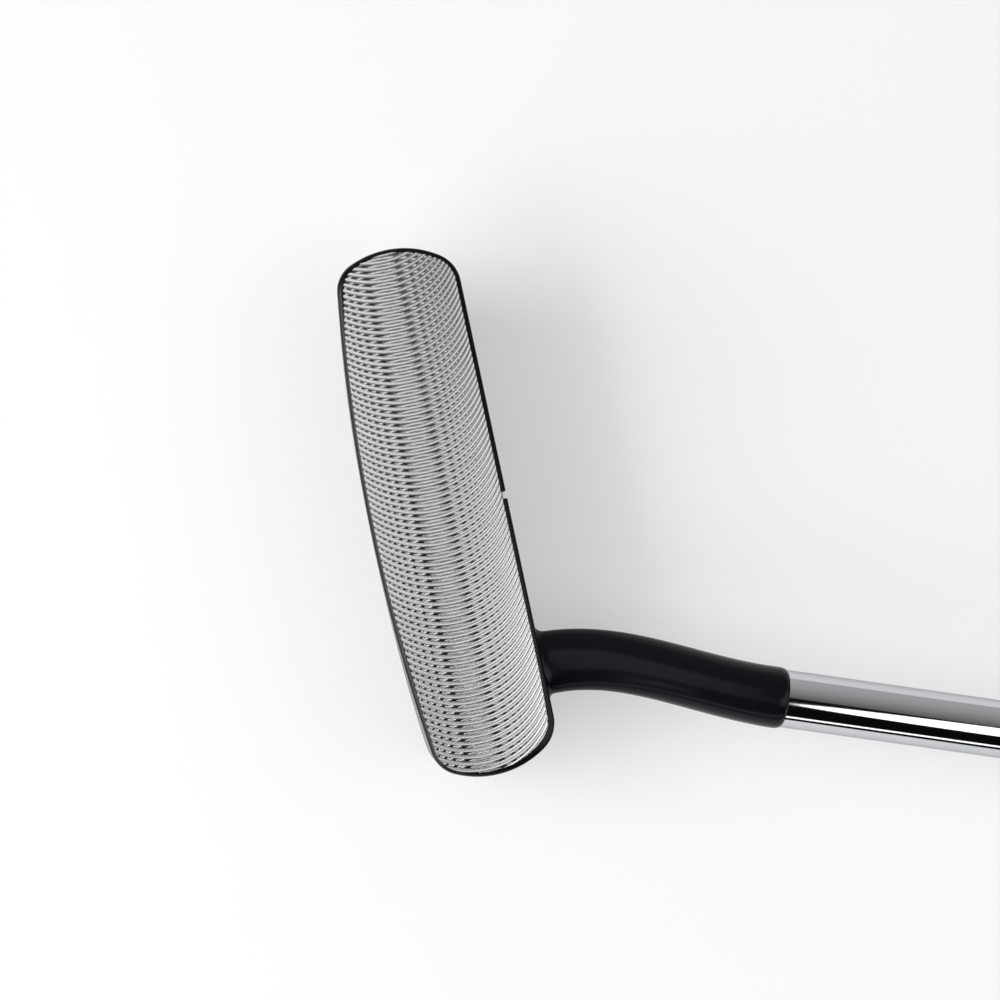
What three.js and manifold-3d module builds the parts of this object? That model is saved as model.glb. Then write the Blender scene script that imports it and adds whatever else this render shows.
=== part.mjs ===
// Heel-shafted blade putter with a flow neck, lying face up on a table. Millimetres, +Z up.
//
// The head is laid out in its own face frame, then tipped into the resting pose:
//   x  along the face, from toe to heel
//   y  up the face, from sole to topline
//   n  out of the face, towards the ball
// The shaft and grip are laid out as rings about the shaft axis.

import * as THREE from "three";
import { mergeVertices } from "three/addons/utils/BufferGeometryUtils.js";
import Module from "manifold-3d";

const wasm = await Module();
wasm.setup();

// ---------------------------------------------------------------- driving dimensions

const LIE = THREE.MathUtils.degToRad(70); // shaft to sole line, seen square to the face
const LOFT = THREE.MathUtils.degToRad(3); // shaft to face plane, seen along the face
const OVERALL_LENGTH = 863.6; // 34 in, sole to butt along the shaft axis

const HALF_LENGTH = 49.45; // blade, toe to heel
const HALF_HEIGHT = 12.9; // blade, sole to topline
const END_RADIUS = 17; // toe and heel ends
const END_RISE = 0.6; // height of the end arcs' centres above mid height
const TOP_CORNER = 6.5;
const SOLE_CORNER = 6;
const SOLE_CAMBER = 340;
const FACE_EDGE = 0.8; // rounding where the face meets topline, ends and sole

const TOPLINE_THICKNESS = 8;
const FLANGE_DEPTH = 24; // face plane to trailing edge
const FLANGE_TOP = -7; // height of the trailing edge's upper corner
const FLANGE_FOOT = -10.5; // height of its lower corner
const FLANGE_CORNER = 14; // plan radius of the flange at toe and heel
const SWEEP_TOP = 4; // where the back starts to sweep down to the flange
const SWEEP_FOOT = -4.6; // where the sweep runs out on the flange

const NOTCH_WIDTH = 1.5; // sight line across the middle of the topline
const NOTCH_DEPTH = 0.85;
const PAINT_DEPTH = 0.2;

const AXIS_X = 31.86; // where the shaft axis crosses the topline
const AXIS_N = -0.15;
const NECK_LENGTH = 44; // topline to neck shoulder, along the shaft axis
const NECK_BASE = { x: 31.7, n: -4.3, half: 5.85, depth: 3.3 };
const NECK_WAIST = 5.45; // half width half way up
const NECK_END = 5.6; // radius at the shoulder
const SHOULDER = { radial: 0.45, axial: 1.5 };
const SPIGOT = { radius: 2.4, length: 8 };
const POST = { radius: 4.55, length: 25.4, chamfer: 0.8 };
const WELD = { spread: 1.5, rise: 1.5, lip: 0.22 };

const SHAFT_TIP = 5.25; // outside radius at the neck
const SHAFT_BUTT = 7.35;
const SHAFT_WALL = 0.5;
const SHAFT_PARALLEL = 250; // plain length above the neck
const STEP_COUNT = 9;
const STEP_SPACING = 32;
const STEP_LENGTH = 1.5;

const GRIP_LENGTH = 267; // 10.5 in
const COLLAR_LENGTH = 6;
const CAP_THICKNESS = 3.6;
const VENT_RADIUS = 1.3;
const TAPE_THICKNESS = 0.12;
const WRAP_THICKNESS = 1.15;
// Grip section from mouth to butt: how far along, half width, front flat, back swell.
const GRIP_STATIONS = [
  { at: 0.0, half: 9.6, front: 9.3, back: 9.6 },
  { at: 0.3, half: 10.2, front: 9.6, back: 10.4 },
  { at: 0.6, half: 11.2, front: 10.0, back: 10.6 },
  { at: 0.8, half: 12.0, front: 10.4, back: 12.5 },
  { at: 0.92, half: 12.5, front: 10.6, back: 16.3 },
  { at: 1.0, half: 12.6, front: 10.8, back: 17.5 },
];
const FRONT_FLATNESS = 5; // superellipse exponent of the thumb side
const BACK_FLATNESS = 2.2;

const ROUND = 32; // facets round every turned or lofted piece
const FIT = 0.03; // clearance between bonded pieces
const GLUE = 0.12; // clearance between the wrap and the underlisting
const SLACK = 0.15; // clearance of the spigot in its hole

// ---------------------------------------------------------------- shaft axis and rest pose

const axisDir = new THREE.Vector3(
  Math.cos(LIE),
  Math.sin(LIE) * Math.cos(LOFT),
  Math.sin(LIE) * Math.sin(LOFT),
);
const axisStart = new THREE.Vector3(AXIS_X, HALF_HEIGHT, AXIS_N);
const soleToTopline = (2 * HALF_HEIGHT) / axisDir.y;
const buttAt = OVERALL_LENGTH - soleToTopline;
const mouthAt = buttAt - GRIP_LENGTH;

// The putter rests on its trailing edge and on the side of the grip's butt, so the face
// tips by the angle that brings the butt down to the table.
const buttHalf = GRIP_STATIONS[GRIP_STATIONS.length - 1].half;
const dropFrom = FLANGE_DEPTH + AXIS_N + buttAt * axisDir.z;
const reach = HALF_HEIGHT - FLANGE_TOP + buttAt * axisDir.y;
const restTilt = Math.acos(buttHalf / Math.hypot(dropFrom, reach)) - Math.atan2(reach, dropFrom);

// Width direction (square to the face side) and front direction (thumb side) about a line.
function frameAbout(tangent) {
  const width = new THREE.Vector3(0, 0, 1);
  width.addScaledVector(tangent, -width.dot(tangent)).normalize();
  const front = new THREE.Vector3().crossVectors(width, tangent);
  return { width, front };
}

// ---------------------------------------------------------------- meshing helpers

function signedVolume(positions, index) {
  const a = new THREE.Vector3();
  const b = new THREE.Vector3();
  const c = new THREE.Vector3();
  let total = 0;
  for (let i = 0; i < index.length; i += 3) {
    a.fromArray(positions, 3 * index[i]);
    b.fromArray(positions, 3 * index[i + 1]);
    c.fromArray(positions, 3 * index[i + 2]);
    total += a.dot(b.cross(c)) / 6;
  }
  return total;
}

// Skins a list of rings with equal point counts. A looped skin joins its last ring to its
// first (a tube wall); otherwise both ends are closed by fans.
function skin(rings, looped) {
  const count = rings[0].length;
  const positions = rings.flat().flatMap((p) => p.toArray());
  const index = [];
  const spans = looped ? rings.length : rings.length - 1;
  for (let r = 0; r < spans; r += 1) {
    const near = r * count;
    const far = ((r + 1) % rings.length) * count;
    for (let i = 0; i < count; i += 1) {
      const j = (i + 1) % count;
      index.push(near + i, near + j, far + j);
      index.push(near + i, far + j, far + i);
    }
  }
  if (!looped) {
    closeEnd(positions, index, rings[0], 0, true);
    closeEnd(positions, index, rings[rings.length - 1], (rings.length - 1) * count, false);
  }
  if (signedVolume(positions, index) < 0) {
    index.reverse();
  }
  const geometry = new THREE.BufferGeometry();
  geometry.setAttribute("position", new THREE.Float32BufferAttribute(positions, 3));
  geometry.setIndex(index);
  return geometry;
}

function closeEnd(positions, index, ring, start, backwards) {
  const middle = new THREE.Vector3();
  ring.forEach((p) => middle.add(p));
  middle.divideScalar(ring.length);
  const hub = positions.length / 3;
  positions.push(...middle.toArray());
  for (let i = 0; i < ring.length; i += 1) {
    const j = (i + 1) % ring.length;
    if (backwards) {
      index.push(hub, start + j, start + i);
    } else {
      index.push(hub, start + i, start + j);
    }
  }
}

function toManifold(geometry) {
  const plain = geometry.clone();
  plain.deleteAttribute("normal");
  plain.deleteAttribute("uv");
  const merged = mergeVertices(plain, 1e-4);
  const mesh = new wasm.Mesh({
    numProp: 3,
    vertProperties: Float32Array.from(merged.attributes.position.array),
    triVerts: Uint32Array.from(merged.index.array),
  });
  return new wasm.Manifold(mesh);
}

function fromManifold(manifold) {
  const mesh = manifold.getMesh();
  const geometry = new THREE.BufferGeometry();
  geometry.setAttribute("position", new THREE.BufferAttribute(mesh.vertProperties, 3));
  geometry.setIndex(new THREE.BufferAttribute(mesh.triVerts, 1));
  return geometry;
}

// ---------------------------------------------------------------- blade

// Centre of the circle of radius r that touches two other circles from inside, on the heel side.
function nestedCentre(c1, r1, c2, r2, r) {
  const span = c1.distanceTo(c2);
  const d1 = r1 - r;
  const d2 = r2 - r;
  const along = (span * span + d1 * d1 - d2 * d2) / (2 * span);
  const aside = Math.sqrt(d1 * d1 - along * along);
  const dir = c2.clone().sub(c1).divideScalar(span);
  const across = new THREE.Vector2(dir.y, -dir.x);
  if (across.x < 0) {
    across.negate();
  }
  return c1.clone().addScaledVector(dir, along).addScaledVector(across, aside);
}

function arcPoints(centre, radius, from, to, pieces) {
  const points = [];
  for (let i = 0; i <= pieces; i += 1) {
    const angle = from + ((to - from) * i) / pieces;
    const x = centre.x + radius * Math.cos(angle);
    const y = centre.y + radius * Math.sin(angle);
    points.push(new THREE.Vector2(x, y));
  }
  return points;
}

// Face outline, moved inwards by an even amount: top corner, end, sole corner, half the
// sole, then the same mirrored to the toe.
function bladeOutline(inset) {
  const end = new THREE.Vector2(HALF_LENGTH - END_RADIUS, END_RISE);
  const sole = new THREE.Vector2(0, SOLE_CAMBER - HALF_HEIGHT);
  const topY = HALF_HEIGHT - TOP_CORNER;
  const topX = end.x + Math.sqrt((END_RADIUS - TOP_CORNER) ** 2 - (topY - end.y) ** 2);
  const top = new THREE.Vector2(topX, topY);
  const low = nestedCentre(end, END_RADIUS, sole, SOLE_CAMBER, SOLE_CORNER);
  const topMeets = Math.atan2(top.y - end.y, top.x - end.x);
  const lowMeets = Math.atan2(low.y - end.y, low.x - end.x);
  const soleMeets = Math.atan2(low.y - sole.y, low.x - sole.x);
  const half = [
    ...arcPoints(top, TOP_CORNER - inset, Math.PI / 2, topMeets, 6),
    ...arcPoints(end, END_RADIUS - inset, topMeets, lowMeets, 8).slice(1),
    ...arcPoints(low, SOLE_CORNER - inset, lowMeets, soleMeets, 6).slice(1),
    ...arcPoints(sole, SOLE_CAMBER - inset, soleMeets, -Math.PI / 2, 5).slice(1),
  ];
  const mirrored = half.slice(0, -1).reverse().map((p) => new THREE.Vector2(-p.x, p.y));
  return [...half, ...mirrored];
}

// The outline carried back from the face, its front edge rounded.
function outlineBlock() {
  const steps = [0, Math.PI / 6, Math.PI / 3, Math.PI / 2];
  const rings = steps.map((a) => {
    const inset = FACE_EDGE * (1 - Math.sin(a));
    const back = FACE_EDGE * (1 - Math.cos(a));
    return bladeOutline(inset).map((p) => new THREE.Vector3(p.x, p.y, -back));
  });
  const rear = -FLANGE_DEPTH - 2;
  rings.push(bladeOutline(0).map((p) => new THREE.Vector3(p.x, p.y, rear)));
  return skin(rings, false);
}

// Side section: thin blade, concave sweep down to a flange, and a trailing edge that is cut
// flat to the table.
function sideBlock() {
  const back = -TOPLINE_THICKNESS;
  const footSet = (FLANGE_FOOT - FLANGE_TOP) * Math.tan(restTilt);
  const over = 1;
  const side = new THREE.Shape();
  side.moveTo(HALF_HEIGHT + over, over);
  side.lineTo(HALF_HEIGHT + over, back + 0.6);
  side.lineTo(HALF_HEIGHT - 0.4, back + 0.2);
  side.lineTo(HALF_HEIGHT - 1.2, back);
  side.lineTo(SWEEP_TOP, back);
  side.bezierCurveTo(SWEEP_TOP - 6.5, back, SWEEP_FOOT + 0.6, -11.5, SWEEP_FOOT, 3 - FLANGE_DEPTH);
  side.lineTo(SWEEP_FOOT - 0.4, -FLANGE_DEPTH + 1.1);
  side.lineTo(FLANGE_TOP + 0.5, -FLANGE_DEPTH + 0.15);
  side.lineTo(FLANGE_TOP, -FLANGE_DEPTH);
  side.lineTo(FLANGE_FOOT, -FLANGE_DEPTH + footSet);
  side.lineTo(FLANGE_FOOT - 0.9, -FLANGE_DEPTH + 1);
  side.quadraticCurveTo(-HALF_HEIGHT - 0.2, -13, -HALF_HEIGHT - over, 0);
  side.lineTo(-HALF_HEIGHT - over, over);
  side.closePath();
  const width = 2 * HALF_LENGTH + 4;
  const geometry = new THREE.ExtrudeGeometry(side, {
    depth: width,
    bevelEnabled: false,
    curveSegments: 8,
  });
  // Section (y, n) extruded along x.
  const turn = new THREE.Matrix4().set(
    0, 0, 1, -width / 2,
    1, 0, 0, 0,
    0, 1, 0, 0,
    0, 0, 0, 1,
  );
  return geometry.applyMatrix4(turn);
}

// Plan of the flange: straight trailing edge, round corners.
function planBlock() {
  const half = HALF_LENGTH + 1.5;
  const rear = -FLANGE_DEPTH - 1;
  const plan = new THREE.Shape();
  plan.moveTo(-half, 1);
  plan.lineTo(-half, rear + FLANGE_CORNER);
  plan.absarc(-half + FLANGE_CORNER, rear + FLANGE_CORNER, FLANGE_CORNER, Math.PI, 1.5 * Math.PI);
  plan.absarc(half - FLANGE_CORNER, rear + FLANGE_CORNER, FLANGE_CORNER, -0.5 * Math.PI, 0);
  plan.lineTo(half, 1);
  plan.closePath();
  const height = 2 * HALF_HEIGHT + 4;
  const geometry = new THREE.ExtrudeGeometry(plan, {
    depth: height,
    bevelEnabled: false,
    curveSegments: 8,
  });
  // Plan (x, n) extruded along y.
  const turn = new THREE.Matrix4().set(
    1, 0, 0, 0,
    0, 0, -1, height / 2,
    0, 1, 0, 0,
    0, 0, 0, 1,
  );
  return geometry.applyMatrix4(turn);
}

function boxAt(width, height, depth, x, y, n) {
  return toManifold(new THREE.BoxGeometry(width, height, depth).translate(x, y, n));
}

function makeBlade() {
  const cutterHeight = 4;
  const notchY = HALF_HEIGHT - NOTCH_DEPTH + cutterHeight / 2;
  const notch = boxAt(NOTCH_WIDTH, cutterHeight, 60, 0, notchY, 0);
  const hole = new THREE.CylinderGeometry(
    SPIGOT.radius + SLACK,
    SPIGOT.radius + SLACK,
    SPIGOT.length + 1,
    ROUND,
  );
  const holeTop = 0.7;
  hole.translate(NECK_BASE.x, HALF_HEIGHT + holeTop - (SPIGOT.length + 1) / 2, NECK_BASE.n);
  const body = toManifold(outlineBlock())
    .intersect(toManifold(sideBlock()))
    .intersect(toManifold(planBlock()))
    .subtract(notch)
    .subtract(toManifold(hole));
  return fromManifold(body);
}

function makeSightLine() {
  const width = NOTCH_WIDTH - 2 * FIT;
  const length = TOPLINE_THICKNESS - FACE_EDGE - 1.5;
  const y = HALF_HEIGHT - NOTCH_DEPTH + FIT + PAINT_DEPTH / 2;
  const n = -FACE_EDGE - length / 2;
  return new THREE.BoxGeometry(width, PAINT_DEPTH, length).translate(0, y, n);
}

// ---------------------------------------------------------------- neck

// A ring square to a tangent: half widths across the face side and square to it.
function ringAbout(centre, tangent, across, deep) {
  const { width, front } = frameAbout(tangent);
  const points = [];
  for (let i = 0; i < ROUND; i += 1) {
    const angle = (2 * Math.PI * i) / ROUND;
    const point = centre.clone();
    point.addScaledVector(front, across * Math.cos(angle));
    point.addScaledVector(width, deep * Math.sin(angle));
    points.push(point);
  }
  return points;
}

const UPRIGHT = new THREE.Vector3(0, 1, 0);
const neckFoot = new THREE.Vector3(NECK_BASE.x, HALF_HEIGHT + FIT, NECK_BASE.n);

function onAxis(distance) {
  return axisStart.clone().addScaledVector(axisDir, distance);
}

// The neck leaves the topline square and flows into the shaft axis.
function neckCurve() {
  const end = onAxis(NECK_LENGTH - SHOULDER.axial);
  const pull = end.distanceTo(neckFoot) * 0.36;
  return new THREE.CubicBezierCurve3(
    neckFoot,
    neckFoot.clone().addScaledVector(UPRIGHT, pull),
    end.clone().addScaledVector(axisDir, -pull),
    end,
  );
}

function neckHalfWidth(t) {
  const swell = t < 0.65 ? NECK_BASE.half : NECK_END;
  const away = t < 0.65 ? 1 - t / 0.65 : (t - 0.65) / 0.35;
  return NECK_WAIST + (swell - NECK_WAIST) * away * away;
}

function neckDepth(t) {
  const ease = t * t * (3 - 2 * t);
  const grown = Math.min(1, ease * 1.25);
  return NECK_BASE.depth + (neckHalfWidth(t) - NECK_BASE.depth) * grown;
}

function makeNeck() {
  const rings = [];
  const spigotEnd = neckFoot.clone().addScaledVector(UPRIGHT, -SPIGOT.length);
  rings.push(ringAbout(spigotEnd, UPRIGHT, SPIGOT.radius, SPIGOT.radius));
  rings.push(ringAbout(neckFoot, UPRIGHT, SPIGOT.radius, SPIGOT.radius));
  const curve = neckCurve();
  const lofts = 14;
  for (let i = 0; i <= lofts; i += 1) {
    const t = i / lofts;
    const centre = curve.getPoint(t);
    rings.push(ringAbout(centre, curve.getTangent(t), neckHalfWidth(t), neckDepth(t)));
  }
  for (const a of [Math.PI / 6, Math.PI / 3, Math.PI / 2]) {
    const radius = NECK_END - SHOULDER.radial * (1 - Math.cos(a));
    const at = NECK_LENGTH - SHOULDER.axial * (1 - Math.sin(a));
    rings.push(ringAbout(onAxis(at), axisDir, radius, radius));
  }
  const postEnd = NECK_LENGTH + POST.length;
  rings.push(ringAbout(onAxis(NECK_LENGTH), axisDir, POST.radius, POST.radius));
  rings.push(ringAbout(onAxis(postEnd - POST.chamfer), axisDir, POST.radius, POST.radius));
  const tipRadius = POST.radius - POST.chamfer;
  rings.push(ringAbout(onAxis(postEnd), axisDir, tipRadius, tipRadius));
  return skin(rings, false);
}

// Blended weld round the foot of the neck, its outer face hollow.
function makeWeld() {
  const curve = neckCurve();
  const rise = WELD.rise / curve.getLength();
  const inner = [0, rise].map((t) => {
    const across = neckHalfWidth(t) + FIT;
    const deep = neckDepth(t) + FIT;
    return ringAbout(curve.getPoint(t), curve.getTangent(t), across, deep);
  });
  const outer = [0, 0.35, 0.7].map((k) => {
    const t = k * rise;
    const flare = (1 - k) ** 2.2;
    const across = neckHalfWidth(t) + 2 * FIT + WELD.spread * flare;
    const deep = neckDepth(t) + 2 * FIT + WELD.lip * flare;
    return ringAbout(curve.getPoint(t), curve.getTangent(t), across, deep);
  });
  return skin([...outer, ...inner.reverse()], true);
}

// ---------------------------------------------------------------- shaft

function axisRing(at, radius) {
  return ringAbout(onAxis(at), axisDir, radius, radius);
}

function makeShaft() {
  const rise = (SHAFT_BUTT - SHAFT_TIP) / STEP_COUNT;
  const foot = NECK_LENGTH + FIT;
  const top = buttAt - CAP_THICKNESS - FIT;
  const stations = [[foot, SHAFT_TIP]];
  for (let k = 0; k < STEP_COUNT; k += 1) {
    const at = foot + SHAFT_PARALLEL + k * STEP_SPACING;
    stations.push([at, SHAFT_TIP + k * rise]);
    stations.push([at + STEP_LENGTH, SHAFT_TIP + (k + 1) * rise]);
  }
  stations.push([top, SHAFT_BUTT]);
  const outer = stations.map(([at, radius]) => axisRing(at, radius));
  const inner = stations.map(([at, radius]) => axisRing(at, radius - SHAFT_WALL));
  return skin([...outer, ...inner.reverse()], true);
}

function tube(from, to, inside, outside) {
  const walls = [
    [from, outside],
    [to, outside],
    [to, inside],
    [from, inside],
  ];
  return skin(walls.map(([at, radius]) => axisRing(at, radius)), true);
}

function makeEpoxy() {
  const from = NECK_LENGTH + 2 * FIT;
  const to = NECK_LENGTH + POST.length - POST.chamfer;
  return tube(from, to, POST.radius + FIT, SHAFT_TIP - SHAFT_WALL - FIT);
}

// ---------------------------------------------------------------- grip

function gripSection(along) {
  const next = Math.max(1, GRIP_STATIONS.findIndex((s) => s.at >= along));
  const a = GRIP_STATIONS[next - 1];
  const b = GRIP_STATIONS[next];
  const f = (along - a.at) / (b.at - a.at);
  const ease = f * f * (3 - 2 * f);
  const mix = (key) => a[key] + (b[key] - a[key]) * ease;
  return { half: mix("half"), front: mix("front"), back: mix("back") };
}

function gripRing(at, inset) {
  const section = gripSection(THREE.MathUtils.clamp((at - mouthAt) / GRIP_LENGTH, 0, 1));
  const { width, front } = frameAbout(axisDir);
  const centre = onAxis(at);
  const points = [];
  for (let i = 0; i < ROUND; i += 1) {
    const angle = (2 * Math.PI * i) / ROUND;
    const c = Math.cos(angle);
    const s = Math.sin(angle);
    const power = c > 0 ? 2 / FRONT_FLATNESS : 2 / BACK_FLATNESS;
    const side = 2 / (c > 0 ? 3 : BACK_FLATNESS);
    const depth = (c > 0 ? section.front : section.back) - inset;
    const x = Math.sign(c) * Math.abs(c) ** power * depth;
    const y = Math.sign(s) * Math.abs(s) ** side * (section.half - inset);
    points.push(centre.clone().addScaledVector(front, x).addScaledVector(width, y));
  }
  return points;
}

const sleeveFrom = mouthAt + COLLAR_LENGTH + FIT;
const sleeveTo = buttAt - CAP_THICKNESS - FIT;
const GRIP_LOFTS = 20;

function gripRings(inset) {
  const rings = [];
  for (let i = 0; i <= GRIP_LOFTS; i += 1) {
    const at = sleeveFrom + ((sleeveTo - sleeveFrom) * i) / GRIP_LOFTS;
    rings.push(gripRing(at, inset));
  }
  return rings;
}

function makeWrap() {
  return skin([...gripRings(0), ...gripRings(WRAP_THICKNESS).reverse()], true);
}

function makeUnderlisting() {
  const bore = SHAFT_BUTT + 2 * FIT + TAPE_THICKNESS;
  const outer = gripRings(WRAP_THICKNESS + GLUE);
  const inner = [sleeveTo, sleeveFrom].map((at) => axisRing(at, bore + FIT));
  return skin([...outer, ...inner], true);
}

function makeTape() {
  const inside = SHAFT_BUTT + FIT;
  return tube(sleeveFrom, sleeveTo, inside, inside + TAPE_THICKNESS);
}

function makeCollar() {
  const inside = SHAFT_BUTT + FIT;
  const mouth = [mouthAt, mouthAt + 1, mouthAt + COLLAR_LENGTH];
  const outer = [gripRing(mouth[0], 0.9), gripRing(mouth[1], 0), gripRing(mouth[2], 0)];
  const inner = [axisRing(mouth[2], inside), axisRing(mouth[0], inside)];
  return skin([...outer, ...inner], true);
}

// Butt cap with its vent hole and a turned-down rim.
function makeCap() {
  const from = buttAt - CAP_THICKNESS;
  const rim = [
    [from, 0],
    [buttAt - 1.6, 0],
    [buttAt - 0.5, 0.6],
    [buttAt, 1.9],
  ];
  const outer = rim.map(([at, inset]) => gripRing(at, inset));
  const inner = [axisRing(buttAt, VENT_RADIUS), axisRing(from, VENT_RADIUS)];
  return skin([...outer, ...inner], true);
}

// ---------------------------------------------------------------- materials and assembly

function material(color, roughness, metalness) {
  return new THREE.MeshStandardMaterial({ color, roughness, metalness });
}

const BLACK_STEEL = material(0x17181c, 0.38, 0.9);
const WELD_STEEL = material(0x1a1b20, 0.45, 0.9);
const CHROME = material(0xd6d8da, 0.08, 1);
const EPOXY = material(0xc9c2a8, 0.6, 0);
const PAINT = material(0xe6e6e2, 0.55, 0);
const TAPE = material(0xd9cfae, 0.8, 0);
const RUBBER = material(0x1d1d1e, 0.85, 0);
const LEATHER = material(0x141414, 0.6, 0);
const TRIM = material(0x0e0e10, 0.35, 0);

const PIECES = [
  ["blade_head", makeBlade, BLACK_STEEL],
  ["sight_line_paint", makeSightLine, PAINT],
  ["flow_neck", makeNeck, BLACK_STEEL],
  ["neck_weld", makeWeld, WELD_STEEL],
  ["hosel_epoxy", makeEpoxy, EPOXY],
  ["shaft", makeShaft, CHROME],
  ["grip_tape", makeTape, TAPE],
  ["grip_underlisting", makeUnderlisting, RUBBER],
  ["grip_wrap", makeWrap, LEATHER],
  ["grip_collar", makeCollar, TRIM],
  ["grip_cap", makeCap, TRIM],
];

// Face frame to table: tip about the face's long direction, turn the shaft onto +X, then
// bring the bottom centre of the whole putter's box to the origin.
function restMatrix() {
  const tip = new THREE.Matrix4().makeRotationX(-restTilt);
  const lying = axisDir.clone().applyMatrix4(tip);
  const swing = new THREE.Matrix4().makeRotationZ(-Math.atan2(lying.y, lying.x));
  return swing.multiply(tip);
}

function buildPutter() {
  const putter = new THREE.Group();
  const pose = restMatrix();
  for (const [name, make, finish] of PIECES) {
    const mesh = new THREE.Mesh(make().applyMatrix4(pose), finish);
    mesh.name = name;
    putter.add(mesh);
  }
  const box = new THREE.Box3().setFromObject(putter, true);
  const centre = box.getCenter(new THREE.Vector3());
  for (const mesh of putter.children) {
    mesh.geometry.translate(-centre.x, -centre.y, -box.min.z);
  }
  return putter;
}

export default buildPutter();
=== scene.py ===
# Looks for the blade putter: fine meshes, materials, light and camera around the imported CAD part.
import math

import bmesh
import bpy
import numpy as np
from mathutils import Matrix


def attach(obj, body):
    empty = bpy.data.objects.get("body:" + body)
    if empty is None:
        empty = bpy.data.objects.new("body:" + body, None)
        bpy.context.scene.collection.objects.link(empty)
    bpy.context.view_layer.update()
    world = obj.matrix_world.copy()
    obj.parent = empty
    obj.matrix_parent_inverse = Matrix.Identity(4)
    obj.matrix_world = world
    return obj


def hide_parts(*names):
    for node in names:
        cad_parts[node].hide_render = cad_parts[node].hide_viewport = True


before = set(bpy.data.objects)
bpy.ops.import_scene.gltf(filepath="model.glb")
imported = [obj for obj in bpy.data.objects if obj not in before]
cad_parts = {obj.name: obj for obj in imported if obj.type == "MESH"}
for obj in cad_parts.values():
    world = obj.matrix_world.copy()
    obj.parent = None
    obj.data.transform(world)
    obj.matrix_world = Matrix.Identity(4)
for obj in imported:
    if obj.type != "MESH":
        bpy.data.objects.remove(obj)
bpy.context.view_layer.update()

import openvdb
from mathutils import Matrix, Vector
from mathutils.geometry import delaunay_2d_cdt

# ------------------------------------------------------------------ driving dimensions
# Lengths on the putter are millimetres in the face frame: x to the heel, y to the topline,
# z out of the face. They repeat the CAD part's own dimensions. The room is in metres.

MM = 0.001
LIE = math.radians(70)
LOFT = math.radians(3)
HALF_LENGTH = 49.45
HALF_HEIGHT = 12.9
END_RADIUS = 17.0
END_RISE = 0.6
TOP_CORNER = 6.5
SOLE_CORNER = 6.0
SOLE_CAMBER = 340.0
TOPLINE_THICKNESS = 8.0
FLANGE_DEPTH = 24.0
FLANGE_TOP = -7.0
FLANGE_FOOT = -10.5
FLANGE_CORNER = 14.0
SWEEP_TOP = 4.0
SWEEP_FOOT = -4.6
NOTCH_WIDTH = 1.5
NOTCH_DEPTH = 0.85
PAINT_THICKNESS = 0.2
PAINT_FRONT = -0.8

AXIS_START = Vector((31.86, HALF_HEIGHT, -0.15))
AXIS_DIR = Vector((math.cos(LIE), math.sin(LIE) * math.cos(LOFT), math.sin(LIE) * math.sin(LOFT)))
OVERALL_LENGTH = 863.6
BUTT_AT = OVERALL_LENGTH - 2 * HALF_HEIGHT / AXIS_DIR.y
GRIP_LENGTH = 267.0
MOUTH_AT = BUTT_AT - GRIP_LENGTH

NECK_LENGTH = 44.0
NECK_FOOT = Vector((31.7, HALF_HEIGHT, -4.3))
NECK_BASE_HALF = 5.85
NECK_BASE_DEPTH = 3.3
NECK_WAIST = 5.45
NECK_END = 5.6
SHOULDER_RADIAL = 0.45
SHOULDER_AXIAL = 1.5
SPIGOT_RADIUS = 2.4
SPIGOT_LENGTH = 8.0
NECK_PULL = 0.36  # how strongly the neck's bend keeps to its end directions
POST_RADIUS = 4.55
POST_LENGTH = 25.4
WELD_SPREAD = 1.5
WELD_RISE = 1.5
WELD_LIP = 0.22

SHAFT_TIP = 5.25
SHAFT_BUTT = 7.35
SHAFT_WALL = 0.5
SHAFT_PARALLEL = 250.0
STEP_COUNT = 9
STEP_SPACING = 32.0
STEP_LENGTH = 1.5

COLLAR_LENGTH = 6.0
CAP_THICKNESS = 3.6
VENT_RADIUS = 1.3
WRAP_THICKNESS = 1.15
FIT = 0.03
# Grip section from mouth to butt: how far along, half width, front flat, back swell.
GRIP_STATIONS = (
    (0.0, 9.6, 9.3, 9.6),
    (0.3, 10.2, 9.6, 10.4),
    (0.6, 11.2, 10.0, 10.6),
    (0.8, 12.0, 10.4, 12.5),
    (0.92, 12.5, 10.6, 16.3),
    (1.0, 12.6, 10.8, 17.5),
)
FRONT_FLATNESS = 5.0
SIDE_FLATNESS = 3.0
BACK_FLATNESS = 2.2

# The leather sleeve: its ends, the seam down its back and the slight waves of its surface.
SLEEVE_FROM = MOUTH_AT + COLLAR_LENGTH + FIT
SLEEVE_TO = BUTT_AT - CAP_THICKNESS - FIT
SEAM_DEPTH = 0.5
SEAM_WIDTH = 0.8
PUCKER_DEPTH, PUCKER_AT, PUCKER_WIDTH = 0.12, 3.2, 1.1  # shallow dip on each side of the seam
EDGE_ROLL = 0.7  # the wrap's ends are turned in
WAVE_COUNT = 14
WAVE_RATE = 1.4
WAVE_DEPTH = 0.004
WAVE_INSET = 0.012  # keeps the waves' crests inside the CAD surface
STITCH_PITCH = 4.2
STITCH_REACH = 2.1
STITCH_SPAN = 0.8  # how much of its pitch a stitch crosses
STITCH_MARGIN = 3.0
STITCH_SINK = 0.62  # how deep a stitch's ends go into the leather
STITCH_INSET = 0.16
STITCH_OVERLAP = 0.1  # the stitch underneath lies this much lower
THREAD_RADIUS = 0.27

# Mouldings as (along, inset) or (radius, sunk) pairs.
COLLAR_NOSE = (1.1, 0.9)
COLLAR_GROOVE = ((4.1, 0.0), (4.3, 0.3), (4.7, 0.3), (4.9, 0.0))
COLLAR_CHAMFER = 0.25
COLLAR_LEAD_IN = 0.4
CAP_CHAMFER = 0.25
CAP_RIM = (1.6, 1.9)
CAP_GROOVE = ((6.6, 0.0), (6.35, 0.3), (5.75, 0.3), (5.5, 0.0))
VENT_CHAMFER = 0.3

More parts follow.
